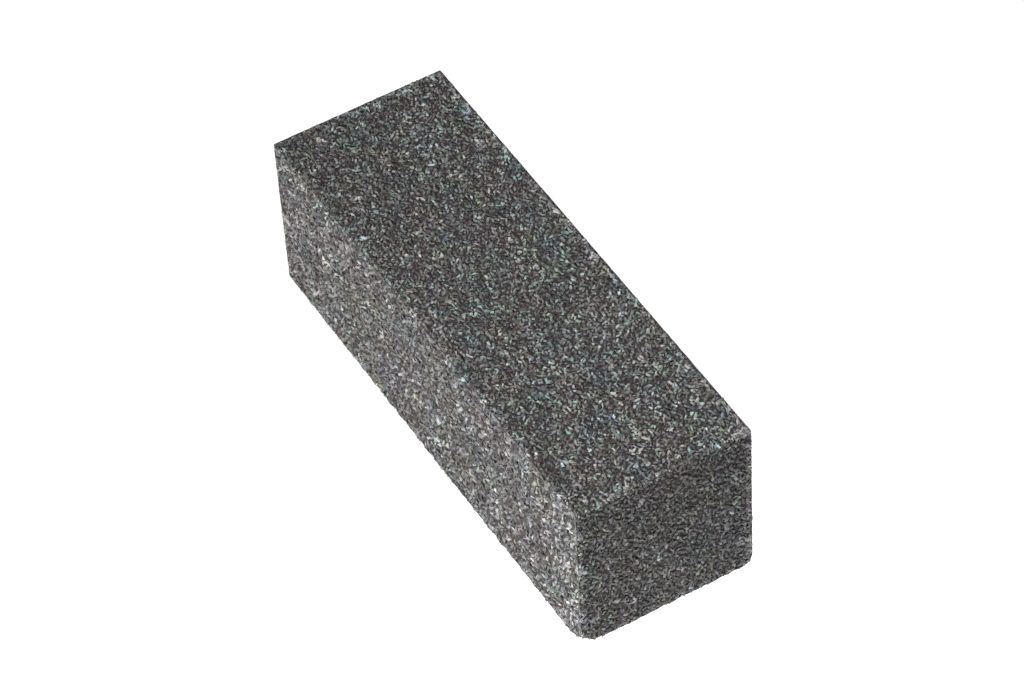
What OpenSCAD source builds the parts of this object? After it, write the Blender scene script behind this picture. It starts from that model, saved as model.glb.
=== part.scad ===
// Square bar whetstone of bonded silicon carbide grit.
// Millimetres, +Z up. The origin is the centre of the face that it rests on, and its length runs along X.
// The stone is one fired block: a porous ceramic bond that holds the grit. The coarsest grains that reach
// each face are solids of their own, seated in the bond and flush with the face.

/* [Stone] */
// Length, along X
stone_length = 75; // [60:1:150]
// Width, along Y
stone_width = 25; // [20:1:50]
// Height, along Z
stone_height = 25; // [20:1:50]

/* [Edges] */
// Break of the four edges round the upper face
upper_break = 0.2; // [0.1:0.05:0.6]
// Break of the edges round the face that it rests on
lower_break = 0.35; // [0.1:0.05:0.6]
// Break of the four upright edges
upright_break = 0.2; // [0.1:0.05:0.6]
// How far the battered lower corner is worn back along its edges
battered_reach = 2.4; // [1:0.1:3]
// How far the rubbed lower corner beside it is worn back
rubbed_reach = 0.9; // [0.8:0.1:3]

/* [Grit] */
// Smallest of the coarse grains, across its flats
grain_min = 0.4; // [0.3:0.05:0.6]
// Largest of the coarse grains, across its flats
grain_max = 0.65; // [0.6:0.05:0.9]
// Distance from one coarse grain to the next
grain_pitch = 5; // [4:0.5:8]
// Strip without coarse grains along every edge
grain_margin = 3; // [3:0.5:5]
// Number that picks the arrangement of the grains
grain_seed = 46; // [1:1:999]

/* [Hidden] */
bond_colour = "#4a4a4b";
grain_colour = "#7d8583";

// A grain is a cube that pokes through the face, cut off level with it.
poke = 0.3;         // how deep a grain's centre lies, as a share of its size
jitter = 0.3;       // how far a grain strays from its place in the grid, as a share of the pitch
skin = 2;           // thickness of the slab that trims the grains, more than any grain is deep
over = 1;           // how far a cutter runs past what it cuts
bulge = 1.35;       // distance of a worn corner's sphere centre from the corner, in reaches
corner_cube = 1.05; // side of the cube that holds a worn corner, in reaches
facets = 96;        // facets round that sphere

// What is added to a face's seed, so that the sizes and the turns of its grains are drawn apart from their places.
SIZE_SEED = 100;
TURN_SEED = 200;

// Each face as [turn, length, width, distance from the stone's centre, seed offset], with its own Z outward.
UPPER = [[0, 0, 0], stone_length, stone_width, stone_height / 2, 0];
LOWER = [[180, 0, 0], stone_length, stone_width, stone_height / 2, 1];
LEFT = [[90, 0, 0], stone_length, stone_height, stone_width / 2, 2];
RIGHT = [[-90, 0, 0], stone_length, stone_height, stone_width / 2, 3];
FRONT = [[0, 90, 0], stone_height, stone_width, stone_length / 2, 4];
BACK = [[0, -90, 0], stone_height, stone_width, stone_length / 2, 5];
FACES = [UPPER, LOWER, LEFT, RIGHT, FRONT, BACK];

// Number of grains that fit along a side, always even, so that the middle of a face stays clear of them.
function grains_along(side) = 2 * floor(((side - 2 * grain_margin) / grain_pitch + 1) / 2);

// Places of a row of n grains, centred on 0.
function places(n) = [for (i = [0 : n - 1]) (i - (n - 1) / 2) * grain_pitch];

// Puts its children on a face, with Z pointing out of the stone.
module on_face(face) {
    translate([0, 0, stone_height / 2])
        rotate(face[0])
            translate([0, 0, face[3]])
                children();
}

// The coarse grains of a face before they are trimmed, each turned its own way.
module raw_grains(face) {
    along = places(grains_along(face[1]));
    across = places(grains_along(face[2]));
    count = len(along) * len(across);
    stray = rands(-jitter * grain_pitch, jitter * grain_pitch, 2 * count, grain_seed + face[4]);
    size = rands(grain_min, grain_max, count, grain_seed + face[4] + SIZE_SEED);
    turn = rands(0, 90, 3 * count, grain_seed + face[4] + TURN_SEED);
    for (i = [0 : len(along) - 1], j = [0 : len(across) - 1]) {
        k = i * len(across) + j;
        translate([along[i] + stray[2 * k], across[j] + stray[2 * k + 1], -poke * size[k]])
            rotate([turn[3 * k], turn[3 * k + 1], turn[3 * k + 2]])
                cube(size[k], center = true);
    }
}

// The same grains cut off level with the face, each a separate solid.
module grains(face) {
    color(grain_colour)
        on_face(face)
            intersection() {
                raw_grains(face);
                translate([0, 0, -skin / 2])
                    cube([face[1], face[2], skin], center = true);
            }
}

// A rectangle centred across, from 0 to high, with its lower and upper corners cut off.
module broken_outline(wide, high, low_cut, high_cut) {
    half = wide / 2;
    polygon([
        [-half + low_cut, 0], [half - low_cut, 0],
        [half, low_cut], [half, high - high_cut],
        [half - high_cut, high], [-half + high_cut, high],
        [-half, high - high_cut], [-half, low_cut],
    ]);
}

// The bar with all twelve edges broken: three outlines extruded through each other.
module broken_bar() {
    intersection() {
        translate([-stone_length / 2, 0, 0])
            rotate([90, 0, 90])
                linear_extrude(stone_length)
                    broken_outline(stone_width, stone_height, lower_break, upper_break);
        translate([0, stone_width / 2, 0])
            rotate([90, 0, 0])
                linear_extrude(stone_width)
                    broken_outline(stone_length, stone_height, lower_break, upper_break);
        translate([0, -stone_width / 2, 0])
            linear_extrude(stone_height)
                broken_outline(stone_length, stone_width, upright_break, upright_break);
    }
}

// What wear took off a lower corner at the front end: the corner's cube outside a sphere that meets all three
// edges at the reach. side is 1 for the right corner and -1 for the left one.
module corner_wear(side, reach) {
    centre = bulge * reach;
    radius = sqrt(pow(centre - reach, 2) + 2 * pow(centre, 2));
    translate([stone_length / 2, side * stone_width / 2, 0])
        scale([-1, -side, 1])
            difference() {
                translate([-over, -over, -over])
                    cube(reach * corner_cube + over);
                translate([centre, centre, centre])
                    sphere(radius, $fn = facets);
            }
}

module bonded_body() {
    color(bond_colour)
        difference() {
            broken_bar();
            corner_wear(-1, battered_reach);
            corner_wear(1, rubbed_reach);
            for (face = FACES) {
                on_face(face)
                    raw_grains(face);
            }
        }
}

bonded_body();
grains(UPPER);  // upper_grains
grains(LOWER);  // lower_grains
grains(LEFT);  // left_grains
grains(RIGHT);  // right_grains
grains(FRONT);  // front_grains
grains(BACK);  // back_grains
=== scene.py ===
"""A square bar whetstone of coarse silicon carbide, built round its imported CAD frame.

The fired bond is one dense mesh with worn edges. The grit is tens of thousands of broken crystals seated in
it, one piece for each face of the bar. Lengths are in millimetres, which MM turns into Blender's metres.
"""

import math

import bmesh
import bpy
import numpy as np
from mathutils import Euler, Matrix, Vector, noise


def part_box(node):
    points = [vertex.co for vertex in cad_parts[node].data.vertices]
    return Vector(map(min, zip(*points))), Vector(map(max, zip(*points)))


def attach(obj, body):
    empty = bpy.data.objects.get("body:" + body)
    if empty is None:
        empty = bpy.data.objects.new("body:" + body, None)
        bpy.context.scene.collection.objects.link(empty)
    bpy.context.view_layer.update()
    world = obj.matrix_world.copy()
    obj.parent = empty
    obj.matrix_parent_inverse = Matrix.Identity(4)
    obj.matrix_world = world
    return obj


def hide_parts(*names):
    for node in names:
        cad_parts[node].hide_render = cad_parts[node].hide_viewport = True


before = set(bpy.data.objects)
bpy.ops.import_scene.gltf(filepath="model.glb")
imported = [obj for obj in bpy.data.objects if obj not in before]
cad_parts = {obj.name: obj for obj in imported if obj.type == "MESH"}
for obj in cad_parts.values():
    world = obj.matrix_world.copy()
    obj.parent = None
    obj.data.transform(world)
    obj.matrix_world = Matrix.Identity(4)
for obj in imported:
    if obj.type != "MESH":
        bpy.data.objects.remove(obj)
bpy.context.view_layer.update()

MM = 0.001
TINY = 1e-9               # keeps a division by zero away
LOW, HIGH = (np.array(corner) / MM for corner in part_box("bonded_body"))
MIDDLE = (LOW + HIGH) / 2

# ---------------------------------------------------------------- sizes: wear

# Every edge is rounded a little, the lower edges more, and most of all the two worn lower corners.
UPPER_EDGE = (0.12, 0.8)  # radius, and the share of it by which it varies along the edge
LOWER_EDGE = (0.3, 1.3)
LOWER_REACH = 1.5         # how far up from the base the lower edges' wear spreads
SHARPEST = 0.03           # the least that an edge is rounded
RADIUS_PATCH = 1.4        # length of one variation of an edge's radius
BATTERED_CORNER = (np.array([HIGH[0], LOW[1], LOW[2]]), 2.0, 1.8)   # place, extra radius, how far it spreads
RUBBED_CORNER = (np.array([HIGH[0], HIGH[1], LOW[2]]), 0.5, 1.2)
SOFT_EDGE = 0.45          # extra radius along the upper edge of the left face, the one most used
SOFT_EDGE_REACH = 1.5
SOFT_EDGE_START = 3.0     # how far from the back end that edge is still sharp

# The crystals near an edge are lighter here and there: partly chipped crystals, and partly a painted
# highlight where the edges catch the light.
CHIP_AND_HIGHLIGHT = 0.15            # how much lighter
CHIP_AND_HIGHLIGHT_REACH = 1.0       # how far from the edge
CHIP_AND_HIGHLIGHT_PATCH = 5.0       # length of one variation along the edge
CHIP_AND_HIGHLIGHT_SHARE = 0.5       # about how much of an edge's length is lighter
CHIP_AND_HIGHLIGHT_CHANGE = 1.5      # how abruptly the lighter stretches begin and end
CHIP_AND_HIGHLIGHT_RISE = 3.0        # height above the base over which the lightening sets in

# Spots where the grit is lighter, or darker if the last number is below 0. Most of them are painted light
# and painted shade, as marked below. Each has its middle first, and then its reach along X, Y and Z.
PAINTED_LIGHT_SPOTS = [
    # painted light and shade on the left face: a lighter band by its near end, and lighter and darker
    # patches along its upper part
    ((HIGH[0], LOW[1], MIDDLE[2] - 1), (6.5, 0.3, 14.0), 0.26),       # left face, by the near end
    ((HIGH[0] - 2, LOW[1], HIGH[2] - 3), (4.0, 0.3, 3.5), -0.12),     # the upper part of that
    ((HIGH[0] - 2, LOW[1], MIDDLE[2]), (4.0, 0.3, 4.0), 0.14),        # the middle of that
    ((LOW[0] + 6, LOW[1], HIGH[2] - 4), (7.0, 0.3, 5.0), 0.12),       # left face, far upper corner
    ((MIDDLE[0] - 3, LOW[1], HIGH[2] - 4), (8.0, 0.3, 6.0), -0.15),   # left face, middle of the upper edge
    # painted highlights along the upper edges
    ((MIDDLE[0], HIGH[1], HIGH[2]), (60.0, 0.6, 0.6), 0.08),          # upper edge of the right face
    ((HIGH[0] - 0.5, HIGH[1] - 2.5, HIGH[2]), (0.9, 2.8, 0.5), 0.5),  # upper face, right of its near edge
    ((HIGH[0] - 0.5, LOW[1] + 4.5, HIGH[2]), (1.3, 1.8, 0.3), 0.2),   # upper face, left of its near edge
    # painted light and shade on the upper face: darker at its far left, lighter at its near right and far
    # right corner
    ((HIGH[0], HIGH[1], HIGH[2]), (35.0, 25.0, 0.3), 0.08),           # upper face, near right
    ((LOW[0], LOW[1], HIGH[2]), (35.0, 25.0, 0.3), -0.11),            # upper face, far left
    ((LOW[0], HIGH[1], HIGH[2]), (16.0, 17.0, 0.3), 0.17),            # upper face, far right corner
    ((HIGH[0] - 7.9, LOW[1] + 1.2, HIGH[2]), (2.6, 1.1, 1.2), -0.9),  # darker patch by the soft edge
    # painted shade: the near end darker at its upper right
    ((HIGH[0], HIGH[1] - 6, HIGH[2]), (0.3, 12.0, 6.0), -0.15),       # near end, upper right
    ((HIGH[0], LOW[1], LOW[2]), (4.0, 4.0, 3.0), -0.2),               # battered corner, darker
]

# ---------------------------------------------------------------- sizes and colours: grit

# spacing is the distance between grains. sunk is how far the grains of the inner layer lie below those of
# the outer one, as a share of the spacing. contrast is the strength of the differences from grain to grain,
# shade the grey that they fade to, and clumps how far neighbours share their lightness. coolness shifts the
# grains' tints from pink through green to blue, tint is the strength of the tints, flash that of the few
# strong ones, and dusk how far the dark grains turn purple.
# The ends' low shade and contrast are painted shade: their crystals are darker, standing in for the end
# faces getting less light.
END_LOOK_WITH_PAINTED_SHADE = {
    "spacing": 0.72, "sunk": 0.2, "contrast": 0.58, "shade": 0.06, "clumps": 1.5,
    "coolness": 0.0, "tint": 0.7, "flash": 0.35, "dusk": 0.2,
}
SIDE_LOOK = {
    "spacing": 0.80, "sunk": 0.38, "contrast": 0.82, "shade": 0.14, "clumps": 1.4,
    "coolness": -0.08, "tint": 0.7, "flash": 0.3, "dusk": 0.1,
}
UPPER_LOOK = {
    "spacing": 0.60, "sunk": 0.38, "contrast": 0.82, "shade": 0.14, "clumps": 1.7,
    "coolness": 0.1, "tint": 0.9, "flash": 0.85, "dusk": 0.9,
}

# Each face of the bar: the axis that it faces along, which way, and the look of its grit.
FACES = {
    "upper": (2, 1, UPPER_LOOK),
    "lower": (2, -1, SIDE_LOOK),
    "left": (1, -1, SIDE_LOOK),
    "right": (1, 1, SIDE_LOOK),
    "front": (0, 1, END_LOOK_WITH_PAINTED_SHADE),
    "back": (0, -1, END_LOOK_WITH_PAINTED_SHADE),
}

GRAIN_STRAY = 0.42        # how far a grain strays from the even spacing, as a share of it
GRAIN_SIZE = 0.88         # as a share of the spacing
GRAIN_SIZE_SPREAD = 0.16  # standard deviation of the logarithm of the size
GRAIN_SIZE_LIMITS = (0.35, 1.1)   # least and greatest size
GRAIN_DEPTH = (0.7, 1.3)  # how deep a grain's centre lies, in radii
GRAIN_ROUNDING = 0.35     # how round an edge cuts off its grains, as a share of the edge's own radius
LAYER_STARTS = (0.25, 0.75)   # where each layer's first row lies, in distances between rows from the edge
LOST_GRAINS = 0.02        # share of the grains that have fallen out

GRAIN_SHAPES = 64         # different crystals, which all the grains share
GRAIN_CORNERS = (7, 10)   # fewest and most corners of a crystal
CORNER_STRAY = 0.22       # how far a corner strays from its even place on the ball
CORNER_REACH = (0.85, 1.2)    # range of a corner's distance from the crystal's centre, before its stretch
GRAIN_STRETCH = ((1.3, 1.9), (0.7, 0.95), (0.55, 0.8))   # range of a crystal's stretch along its three axes

# Colours by lightness, from the darkest crystals to the lightest: their greys, and the tint of the dark.
GRIT_TONES = [
    (0.0, (0.04, 0.04, 0.04)), (0.25, (0.08, 0.08, 0.08)), (0.5, (0.115, 0.115, 0.115)),
    (0.75, (0.165, 0.165, 0.167)), (0.93, (0.26, 0.26, 0.268)), (1.0, (0.4, 0.4, 0.415)),
]
DUSK_TINTS = [(0.0, (1.0, 0.78, 0.86)), (0.25, (1.0, 0.91, 0.94)), (0.5, (1.0, 1.0, 1.0))]
# Faint tints of the crystals, from pink through green to blue.
GRIT_TINTS = [
    (0.0, (1.0, 0.86, 0.92)), (0.25, (1.0, 0.95, 0.95)), (0.5, (1.0, 1.0, 0.97)),
    (0.68, (0.88, 1.0, 0.92)), (0.85, (0.76, 1.0, 0.93)), (1.0, (0.74, 0.92, 1.0)),
]
# Strong tints, each for the crystals whose chance lies between its stop and the next. The first is no tint.
FLASH_TINTS = [
    (0.0, (1.0, 1.0, 1.0)), (0.93, (0.7, 1.0, 0.92)), (0.955, (0.78, 1.0, 0.75)),
    (0.975, (1.0, 0.93, 0.75)), (0.99, (0.75, 0.88, 1.0)),
]
STAIN_TINTS = [(0.3, (1.0, 1.0, 0.86)), (0.5, (1.0, 1.0, 1.0)), (0.7, (0.9, 0.93, 1.0))]
GLINT_SHARE = 0.004       # share of the crystals with a painted glint: a light base colour that stands in for the light they catch
PAINTED_GLINT_COLOUR = (0.5, 0.5, 0.48)
GRIT_ROUGHNESS = (0.3, 0.75)
GRIT_IOR = 1.5
TONE_PATCH = 1.3          # size of the patches whose crystals share some of their lightness
TINT_PATCH = 5.0          # the same for their tint
STAIN_PATCH = 3.5         # size of the faint stains that spread over crystals
TONE_OWN_SHARE = 0.85     # how much of a crystal's lightness is its own, and how much of its tint
TINT_OWN_SHARE = 0.6
TINT_PATCH_SHARE = 1.4    # how much of its tint is its patch's

# ---------------------------------------------------------------- sizes and colours: bond

BOND_PITCH = 0.34         # side of one cell of its mesh
BOND_DEPTH = 0.36         # mean depth of its surface below the grain tips
BOND_RELIEF = 0.08        # how far the surface strays from that depth, both smoothly and from point to point
BOND_PATCH = 0.45         # size of the smooth hollows
BOND_LEAST_DEPTH = 0.02
EDGE_FILL = 0.85          # how much nearer the bond comes to the surface on an edge
EDGE_SLANT = 0.3          # slant at which the surface counts as wholly an edge, from 0 on a flat face
# The bond's near-black tones are partly its own dark colour and partly painted shade in the gaps between the
# crystals.
BOND_AND_GAP_SHADE_TONES = [(0.35, (0.01, 0.007, 0.008)), (0.5, (0.024, 0.018, 0.02)), (0.7, (0.1, 0.08, 0.085))]
BOND_ROUGHNESS = 0.85
PIT_SIZE = 0.25           # size of the pits in the bond, which are darker than the rest of it
PIT_DETAIL = 3.0
PIT_DEPTH = 0.05
PIT_STRENGTH = 0.6

# ---------------------------------------------------------------- camera, light and floor

CAMERA_AZIMUTH = math.radians(62.13)
CAMERA_ELEVATION = math.radians(47.54)
CAMERA_ROLL = math.radians(-3.92)
CAMERA_DISTANCE = 563.2
CAMERA_LENS = 156.2
AIM_RIGHT, AIM_UP = 0.38, 0.21   # how far beside the bar's middle the camera aims

STUDIO_LIGHT = 0.375      # strength of the even light from all round
STUDIO_COLOUR = (1, 0.992, 0.98)
# Square soft boxes that face the bar, each at a place measured from the bar's middle.
LAMPS = {
    "key": {"place": (45, -150, 62), "width": 90, "power": 0.415, "colour": (1, 0.99, 0.972)},
    "overhead": {"place": (45, 45, 150), "width": 90, "power": 0.165, "colour": (1, 1, 1)},
}

FLOOR_RADIUS = 2800       # of its flat part
FLOOR_SIDES = 64
RIM_HEIGHT = 320          # how far the curved rim round it rises
RIM_STEPS = 8
FLOOR_COLOUR = (0.3, 0.3, 0.3)
FLOOR_GLOW = 0.84
NEAR_GLOW = 1.4           # extra glow in front of the near end
NEAR_GLOW_PLACE = (HIGH[0] + 8, MIDDLE[1] - 5, LOW[2])
NEAR_GLOW_REACH = 45.0

rng = np.random.default_rng(seed=46)


# ---------------------------------------------------------------- shape of the worn bar

def fading(distance, reach):
    """1 at no distance, about a third at the reach and nothing far beyond it."""
    return np.exp(-((distance / reach) ** 2))


def wander(points, patch):
    """A smooth random number from about -1 to 1 at each point, which changes over a patch of that length."""
    return np.array([noise.noise(Vector(p)) for p in points / patch])


def edge_radius(points):
    """The radius to which wear has rounded the edges near each point."""
    lowness = np.exp(-(points[:, 2] - LOW[2]) / LOWER_REACH)[:, None]
    radius, change = (UPPER_EDGE + lowness * np.subtract(LOWER_EDGE, UPPER_EDGE)).T
    radius = np.maximum(radius * (1 + change * wander(points, RADIUS_PATCH)), SHARPEST)
    for place, extra, spread in (BATTERED_CORNER, RUBBED_CORNER):
        radius += extra * fading(np.linalg.norm(points - place, axis=1), spread)
    from_soft_edge = np.hypot(points[:, 1] - LOW[1], points[:, 2] - HIGH[2])
    used = 1 - fading(points[:, 0] - LOW[0], SOFT_EDGE_START)
    return radius + SOFT_EDGE * used * fading(from_soft_edge, SOFT_EDGE_REACH)


def paleness(points):
    """How much lighter the crystals are at each point: from chips and painted highlights along the edges,
    and from the spots, which are mostly painted light and shade.
    """
    from_edge = np.sort(np.minimum(points - LOW, HIGH - points), axis=1)[:, 1]
    chip_and_highlight_mask = np.clip(CHIP_AND_HIGHLIGHT_SHARE + CHIP_AND_HIGHLIGHT_CHANGE * wander(points, CHIP_AND_HIGHLIGHT_PATCH), 0, 1)
    risen = np.clip((points[:, 2] - LOW[2]) / CHIP_AND_HIGHLIGHT_RISE, 0, 1)
    pale = CHIP_AND_HIGHLIGHT * chip_and_highlight_mask * fading(from_edge, CHIP_AND_HIGHLIGHT_REACH) * risen
    for place, reach, change in PAINTED_LIGHT_SPOTS:
        pale += change * fading(np.linalg.norm((points - place) / reach, axis=1), 1)
    return pale


def worn(points, radius):
    """Moves points outside the worn bar onto its surface, and gives the outward direction at each."""
    reach = radius[:, None]
    core = np.clip(points, LOW + reach, HIGH - reach)
    out = points - core
    distance = np.linalg.norm(out, axis=1, keepdims=True)
    outward = out / np.maximum(distance, TINY)
    return core + outward * np.minimum(distance, reach), outward


# ---------------------------------------------------------------- meshes

def new_piece(name, points, triangles, material, pale=None):
    """A mesh object from points in millimetres and triangles of point numbers, with the paleness at each."""
    mesh = bpy.data.meshes.new(name)
    mesh.vertices.add(len(points))
    mesh.vertices.foreach_set("co", (points * MM).astype(np.float32).ravel())
    mesh.loops.add(triangles.size)
    mesh.loops.foreach_set("vertex_index", triangles.astype(np.int32).ravel())
    mesh.polygons.add(len(triangles))
    mesh.polygons.foreach_set("loop_start", np.arange(0, triangles.size, 3, dtype=np.int32))
    mesh.materials.append(material)
    mesh.update(calc_edges=True)
    mesh.shade_flat()
    if pale is not None:
        mesh.attributes.new("pale", "FLOAT", "POINT").data.foreach_set("value", pale.astype(np.float32))
    piece = bpy.data.objects.new(name, mesh)
    bpy.context.scene.collection.objects.link(piece)
    return piece


def even_ball(count):
    """Points spread evenly over a unit ball along a spiral that turns by the golden angle."""
    golden_angle = math.pi * (3 - math.sqrt(5))
    step = np.arange(count) + 0.5
    z = 1 - 2 * step / count
    ring = np.sqrt(1 - z * z)
    return np.stack([ring * np.cos(golden_angle * step), ring * np.sin(golden_angle * step), z], axis=1)


def grain_shape(count):
    """One broken crystal of about unit radius: the hull of that many corners round a stretched ball."""
    corners = even_ball(count)
    corners += rng.normal(0, CORNER_STRAY, corners.shape)
    corners *= rng.uniform(*CORNER_REACH, (count, 1)) / np.linalg.norm(corners, axis=1, keepdims=True)
    corners *= [rng.uniform(*limits) for limits in GRAIN_STRETCH]
    hull = bmesh.new()
    for corner in corners:
        hull.verts.new(corner)
    bmesh.ops.convex_hull(hull, input=hull.verts)
    inside = [vertex for vertex in hull.verts if not vertex.link_faces]
    bmesh.ops.delete(hull, geom=inside, context="VERTS")
    bmesh.ops.triangulate(hull, faces=hull.faces)
    bmesh.ops.recalc_face_normals(hull, faces=hull.faces)
    hull.verts.index_update()
    points = np.array([vertex.co for vertex in hull.verts])
    triangles = np.array([[vertex.index for vertex in face.verts] for face in hull.faces])
    hull.free()
    return points, triangles


def random_turns(count):
    """Rotation matrices that turn a shape every way with equal chance."""
    q = rng.normal(size=(count, 4))
    w, x, y, z = (q / np.linalg.norm(q, axis=1, keepdims=True)).T
    return np.array([
        [1 - 2 * (y * y + z * z), 2 * (x * y - z * w), 2 * (x * z + y * w)],
        [2 * (x * y + z * w), 1 - 2 * (x * x + z * z), 2 * (y * z - x * w)],
        [2 * (x * z - y * w), 2 * (y * z + x * w), 1 - 2 * (x * x + y * y)],
    ]).transpose(2, 0, 1)


def sides_of(axis):
    """The two axes that a face spans, given the one that it faces along."""
    return [a for a in range(3) if a != axis]


def grain_places(axis, way, spacing, start):
    """Where a face's grains sit on the sharp-edged bar: evenly in a triangular grid, each strayed a little.

    start is how far the first row lies from the edge, as a share of the distance between rows.
    """
    along, across = sides_of(axis)
    row_gap = spacing * math.sqrt(3) / 2
    rows = np.arange(LOW[across] + start * row_gap, HIGH[across], row_gap)
    columns = np.arange(LOW[along] + spacing / 4, HIGH[along], spacing)
    u, v = np.meshgrid(columns, rows)
    u[1::2] += spacing / 2
    places = np.empty((u.size, 3))
    stray = rng.uniform(-GRAIN_STRAY, GRAIN_STRAY, (2, u.size)) * spacing
    places[:, along] = np.clip(u.ravel() + stray[0], LOW[along], HIGH[along])
    places[:, across] = np.clip(v.ravel() + stray[1], LOW[across], HIGH[across])
    places[:, axis] = HIGH[axis] if way > 0 else LOW[axis]
    return places[rng.random(len(places)) > LOST_GRAINS]


def grit_piece(face, shapes, material):
    """All the crystals of one face, in two layers: the outer one's tips are level with the worn surface."""
    axis, way, look = FACES[face]
    spacing = look["spacing"]
    outer, inner = (grain_places(axis, way, spacing, start) for start in LAYER_STARTS)
    sunk = np.repeat([0, look["sunk"] * spacing], [len(outer), len(inner)])
    places = np.concatenate([outer, inner])
    surface, outward = worn(places, edge_radius(places))
    size = GRAIN_SIZE * spacing * np.exp(rng.normal(0, GRAIN_SIZE_SPREAD, len(places)))
    half = np.clip(size, *GRAIN_SIZE_LIMITS) / 2
    depth = half * rng.uniform(*GRAIN_DEPTH, len(places)) + sunk
    centres = surface - outward * depth[:, None]
    turns = random_turns(len(places))
    kind = rng.integers(len(shapes), size=len(places))
    pale = paleness(places)
    points, triangles, pale_points, count = [], [], [], 0
    for number, (shape, hull) in enumerate(shapes):
        mine = np.flatnonzero(kind == number)
        turned = np.einsum("gij,cj->gci", turns[mine], shape)
        corners = (turned * half[mine, None, None] + centres[mine, None]).reshape(-1, 3)
        corners, _ = worn(corners, GRAIN_ROUNDING * edge_radius(corners))
        points.append(corners)
        pale_points.append(np.repeat(pale[mine], len(shape)))
        starts = count + len(shape) * np.arange(len(mine))
        triangles.append((starts[:, None, None] + hull).reshape(-1, 3))
        count += len(corners)
    return new_piece(face + "_grit", np.concatenate(points), np.concatenate(triangles), material,
                     np.concatenate(pale_points))


def box_lattice(cells):
    """The surface of a box of that many cells each way: lattice points, and squares of their numbers."""
    sheets, squares, count = [], [], 0
    for axis, way, _ in FACES.values():
        along, across = sides_of(axis)
        i, j = np.meshgrid(np.arange(cells[along] + 1), np.arange(cells[across] + 1), indexing="ij")
        sheet = np.zeros((i.size, 3), int)
        sheet[:, along], sheet[:, across] = i.ravel(), j.ravel()
        sheet[:, axis] = cells[axis] if way > 0 else 0
        number = (count + np.arange(i.size)).reshape(i.shape)
        ring = [number[:-1, :-1], number[1:, :-1], number[1:, 1:], number[:-1, 1:]]
        winding = way * (1 if (along + 1) % 3 == across else -1)
        squares.append(np.stack(ring[::winding], axis=-1).reshape(-1, 4))
        sheets.append(sheet)
        count += i.size
    lattice, merged = np.unique(np.concatenate(sheets), axis=0, return_inverse=True)
    return lattice, merged.ravel()[np.concatenate(squares)]


def bond_piece(material):
    """The bond: a closed, uneven skin over the whole bar, a little below the grain tips."""
    cells = np.round((HIGH - LOW) / BOND_PITCH).astype(int)
    lattice, squares = box_lattice(cells)
    sharp = LOW + lattice * (HIGH - LOW) / cells
    surface, outward = worn(sharp, edge_radius(sharp))
    relief = wander(surface, BOND_PATCH) + rng.uniform(-1, 1, len(surface))
    slant = 1 - np.abs(outward).max(axis=1)
    depth = (BOND_DEPTH + BOND_RELIEF * relief) * (1 - EDGE_FILL * np.clip(slant / EDGE_SLANT, 0, 1))
    points = surface - outward * np.maximum(depth, BOND_LEAST_DEPTH)[:, None]
    triangles = np.concatenate([squares[:, [0, 1, 2]], squares[:, [0, 2, 3]]])
    return new_piece("porous_bond", points, triangles, material)


# ---------------------------------------------------------------- materials

# A Mix node's colour sockets are found by number, because several of its sockets have the same name.
MIX_FACTOR, MIX_FIRST, MIX_SECOND, MIX_RESULT = 0, 6, 7, 2


def opaque(colour):
    """The colour with an alpha of 1."""
    return (*colour, 1)


def connect(tree, node, inputs):
    """Sets a node's inputs, each found by its name or number, to a constant or to another node's output."""
    for key, value in inputs.items():
        if isinstance(value, bpy.types.NodeSocket):
            tree.links.new(value, node.inputs[key])
        else:
            node.inputs[key].default_value = value


def add_node(tree, kind, inputs, **settings):
    """A new node with its settings and its inputs."""
    node = tree.nodes.new(kind)
    for key, value in settings.items():
        setattr(node, key, value)
    connect(tree, node, inputs)
    return node


def new_material(name):
    """A material with its node tree and its Principled shader."""
    material = bpy.data.materials.new(name)
    material.use_nodes = True
    tree = material.node_tree
    shader = next(node for node in tree.nodes if node.type == "BSDF_PRINCIPLED")
    return material, tree, shader


def object_place(tree):
    """Where on the object a point lies, in metres."""
    return add_node(tree, "ShaderNodeTexCoord", {}).outputs["Object"]


def ramp(tree, factor, stops, interpolation="LINEAR"):
    """A colour ramp through (position, colour) stops."""
    node = add_node(tree, "ShaderNodeValToRGB", {"Fac": factor})
    node.color_ramp.interpolation = interpolation
    elements = node.color_ramp.elements
    while len(elements) < len(stops):
        elements.new(1)
    for element, (position, colour) in zip(elements, stops):
        element.position = position
        element.color = opaque(colour)
    return node.outputs["Color"]


def mixed(tree, blend, first, second, factor):
    """Two colours mixed as blend says."""
    node = add_node(tree, "ShaderNodeMix", {}, data_type="RGBA", blend_type=blend)
    connect(tree, node, {MIX_FACTOR: factor, MIX_FIRST: first, MIX_SECOND: second})
    return node.outputs[MIX_RESULT]


def computed(tree, operation, *values):
    """The result of a Math node."""
    return add_node(tree, "ShaderNodeMath", dict(enumerate(values)), operation=operation).outputs[0]


def cloud(tree, place, patch, detail=1.0):
    """Smooth noise round a half that changes over a patch of that length."""
    inputs = {"Vector": place, "Scale": 1 / (patch * MM), "Detail": detail}
    return add_node(tree, "ShaderNodeTexNoise", inputs).outputs["Fac"]


def patchy(tree, chance, place, patch, own_share, patch_share, shift=0.0):
    """A number round a half: part of it a crystal's own chance, and part shared with others in its patch."""
    base = 0.5 * (1 - own_share - patch_share) + shift
    own = computed(tree, "MULTIPLY_ADD", chance, own_share, base)
    return computed(tree, "MULTIPLY_ADD", cloud(tree, place, patch), patch_share, own)


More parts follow.
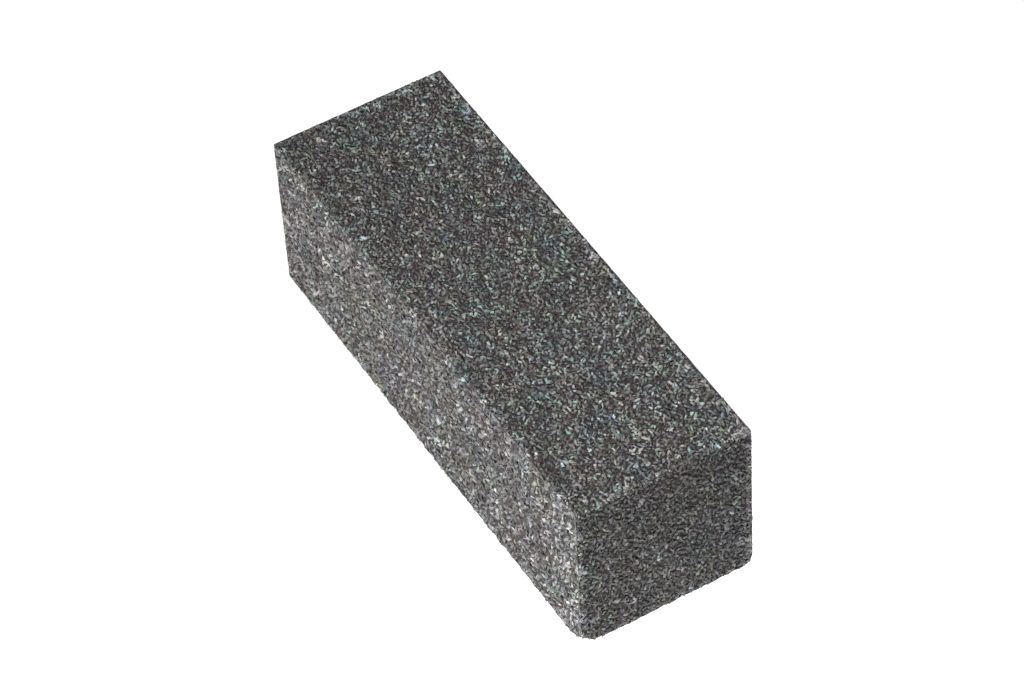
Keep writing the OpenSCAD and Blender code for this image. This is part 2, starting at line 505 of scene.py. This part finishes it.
def grit_material(name, look):
    """Broken silicon carbide: each crystal has its own grey, a faint tint on some, and its own gloss."""
    material, tree, shader = new_material(name)
    place = object_place(tree)
    crystal = add_node(tree, "ShaderNodeNewGeometry", {}).outputs["Random Per Island"]
    chance = add_node(tree, "ShaderNodeTexWhiteNoise", {"W": crystal}, noise_dimensions="1D").outputs
    chances = add_node(tree, "ShaderNodeSeparateColor", {"Color": chance["Color"]}).outputs

    # pale carries the chips and painted edge highlights, and the painted light and shade of the spots
    pale = add_node(tree, "ShaderNodeAttribute", {}, attribute_name="pale").outputs["Fac"]
    fresh = patchy(tree, chances["Red"], place, TONE_PATCH, TONE_OWN_SHARE, look["clumps"])
    lightness = computed(tree, "ADD", pale, fresh)
    shade = opaque((look["shade"],) * 3)
    tone = mixed(tree, "MIX", shade, ramp(tree, lightness, GRIT_TONES), look["contrast"])
    # A painted glint: a few crystals get a light base colour in place of the light that they catch.
    glint_stops = [(0.0, (0, 0, 0)), (1 - GLINT_SHARE, (1, 1, 1))]
    glint = ramp(tree, chance["Value"], glint_stops, interpolation="CONSTANT")
    colour = mixed(tree, "MIX", tone, opaque(PAINTED_GLINT_COLOUR), glint)

    coolness = patchy(
        tree, chances["Green"], place, TINT_PATCH, TINT_OWN_SHARE, TINT_PATCH_SHARE, look["coolness"],
    )
    coats = [
        (ramp(tree, cloud(tree, place, STAIN_PATCH), STAIN_TINTS), 1.0),
        (ramp(tree, lightness, DUSK_TINTS), look["dusk"]),
        (ramp(tree, coolness, GRIT_TINTS), look["tint"]),
        (ramp(tree, chance["Value"], FLASH_TINTS, interpolation="CONSTANT"), look["flash"]),
    ]
    for coat, strength in coats:
        colour = mixed(tree, "MULTIPLY", colour, coat, strength)

    least, most = GRIT_ROUGHNESS
    roughness = add_node(tree, "ShaderNodeMapRange", {
        "Value": chances["Blue"], "To Min": least, "To Max": most,
    }).outputs["Result"]
    connect(tree, shader, {"Base Color": colour, "Roughness": roughness, "IOR": GRIT_IOR})
    return material


def bond_material():
    """The fired bond: dull and finely pitted, dark partly by its own colour and partly by painted shade in
    the gaps between the crystals.
    """
    material, tree, shader = new_material("fired_bond_and_gap_shade")
    pits = cloud(tree, object_place(tree), PIT_SIZE, PIT_DETAIL)
    normal = add_node(tree, "ShaderNodeBump", {
        "Strength": PIT_STRENGTH, "Distance": PIT_DEPTH * MM, "Height": pits,
    }).outputs["Normal"]
    colour = ramp(tree, pits, BOND_AND_GAP_SHADE_TONES)
    connect(tree, shader, {"Base Color": colour, "Normal": normal, "Roughness": BOND_ROUGHNESS})
    return material


def floor_material():
    """A pale floor that glows white, a little more in front of the near end."""
    material, tree, shader = new_material("pale_floor")
    shifted = add_node(tree, "ShaderNodeMapping", {
        "Vector": object_place(tree),
        "Location": -Vector(NEAR_GLOW_PLACE) / NEAR_GLOW_REACH,
        "Scale": (1 / (NEAR_GLOW_REACH * MM),) * 3,
    }).outputs["Vector"]
    near = add_node(tree, "ShaderNodeTexGradient", {"Vector": shifted}, gradient_type="QUADRATIC_SPHERE")
    connect(tree, shader, {
        "Base Color": opaque(FLOOR_COLOUR),
        "Roughness": 1.0,
        "Specular IOR Level": 0.0,
        "Emission Color": (1, 1, 1, 1),
        "Emission Strength": computed(tree, "MULTIPLY_ADD", near.outputs["Fac"], NEAR_GLOW, FLOOR_GLOW),
    })
    return material


# ---------------------------------------------------------------- the stage

def direction(azimuth, elevation):
    """The direction towards a place at that azimuth and elevation: azimuth 0 is -Y, and 90 degrees is +X."""
    level = math.cos(elevation)
    return Vector((math.sin(azimuth) * level, -math.cos(azimuth) * level, math.sin(elevation)))


def add_camera():
    data = bpy.data.cameras.new("camera")
    data.lens = CAMERA_LENS
    camera = bpy.data.objects.new("camera", data)
    bpy.context.scene.collection.objects.link(camera)
    back = direction(CAMERA_AZIMUTH, CAMERA_ELEVATION)
    turn = (-back).to_track_quat("-Z", "Y")
    aim = Vector(MIDDLE) + turn @ Vector((AIM_RIGHT, AIM_UP, 0))
    camera.location = (aim + back * CAMERA_DISTANCE) * MM
    camera.rotation_mode = "QUATERNION"
    camera.rotation_quaternion = turn @ Euler((0, 0, CAMERA_ROLL)).to_quaternion()
    bpy.context.scene.camera = camera


def add_studio_light():
    world = bpy.data.worlds.new("studio")
    world.use_nodes = True
    background = next(node for node in world.node_tree.nodes if node.type == "BACKGROUND")
    connect(world.node_tree, background, {"Color": opaque(STUDIO_COLOUR), "Strength": STUDIO_LIGHT})
    bpy.context.scene.world = world


def add_lamp(name, place, width, power, colour):
    """A square soft box at a place measured from the middle of the bar, which it faces."""
    data = bpy.data.lights.new(name, "AREA")
    data.size = width * MM
    data.energy = power
    data.color = colour
    lamp = bpy.data.objects.new(name, data)
    lamp.location = (Vector(MIDDLE) + Vector(place)) * MM
    lamp.rotation_mode = "QUATERNION"
    lamp.rotation_quaternion = Vector(place).to_track_quat("Z", "Y")
    lamp.visible_camera = False
    bpy.context.scene.collection.objects.link(lamp)


def add_floor():
    """A round floor whose rim curves up all round, so that it fills the background of a low view too."""
    turn = np.arange(FLOOR_SIDES) * 2 * math.pi / FLOOR_SIDES
    rise = np.linspace(0, math.pi / 2, RIM_STEPS + 1)
    reach = FLOOR_RADIUS + RIM_HEIGHT * np.sin(rise)
    height = LOW[2] + RIM_HEIGHT * (1 - np.cos(rise))
    x, y = np.outer(reach, np.cos(turn)), np.outer(reach, np.sin(turn))
    z = np.outer(height, np.ones(FLOOR_SIDES))
    rings = np.stack([x, y, z], axis=-1).reshape(-1, 3)
    middle = np.full(FLOOR_SIDES, len(rings))
    here = np.arange(FLOOR_SIDES)
    after = np.roll(here, -1)
    triangles = [np.stack([middle, here, after], axis=1)]
    for _ in range(RIM_STEPS):
        above, above_after = here + FLOOR_SIDES, after + FLOOR_SIDES
        triangles.append(np.stack([here, above, above_after], axis=1))
        triangles.append(np.stack([here, above_after, after], axis=1))
        here, after = above, above_after
    points = np.concatenate([rings, [[0, 0, LOW[2]]]])
    new_piece("floor", points, np.concatenate(triangles), floor_material())


# ---------------------------------------------------------------- the scene

add_camera()
add_studio_light()
for name, lamp in LAMPS.items():
    add_lamp(name, **lamp)
add_floor()

shapes = [grain_shape(rng.integers(*GRAIN_CORNERS, endpoint=True)) for _ in range(GRAIN_SHAPES)]
for face, (_, _, look) in FACES.items():
    piece = grit_piece(face, shapes, grit_material(face + "_grit", look))
    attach(piece, "root")
    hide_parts(face + "_grains")

bond = bond_piece(bond_material())
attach(bond, "root")
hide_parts("bonded_body")

bpy.context.scene.view_settings.view_transform = "Standard"
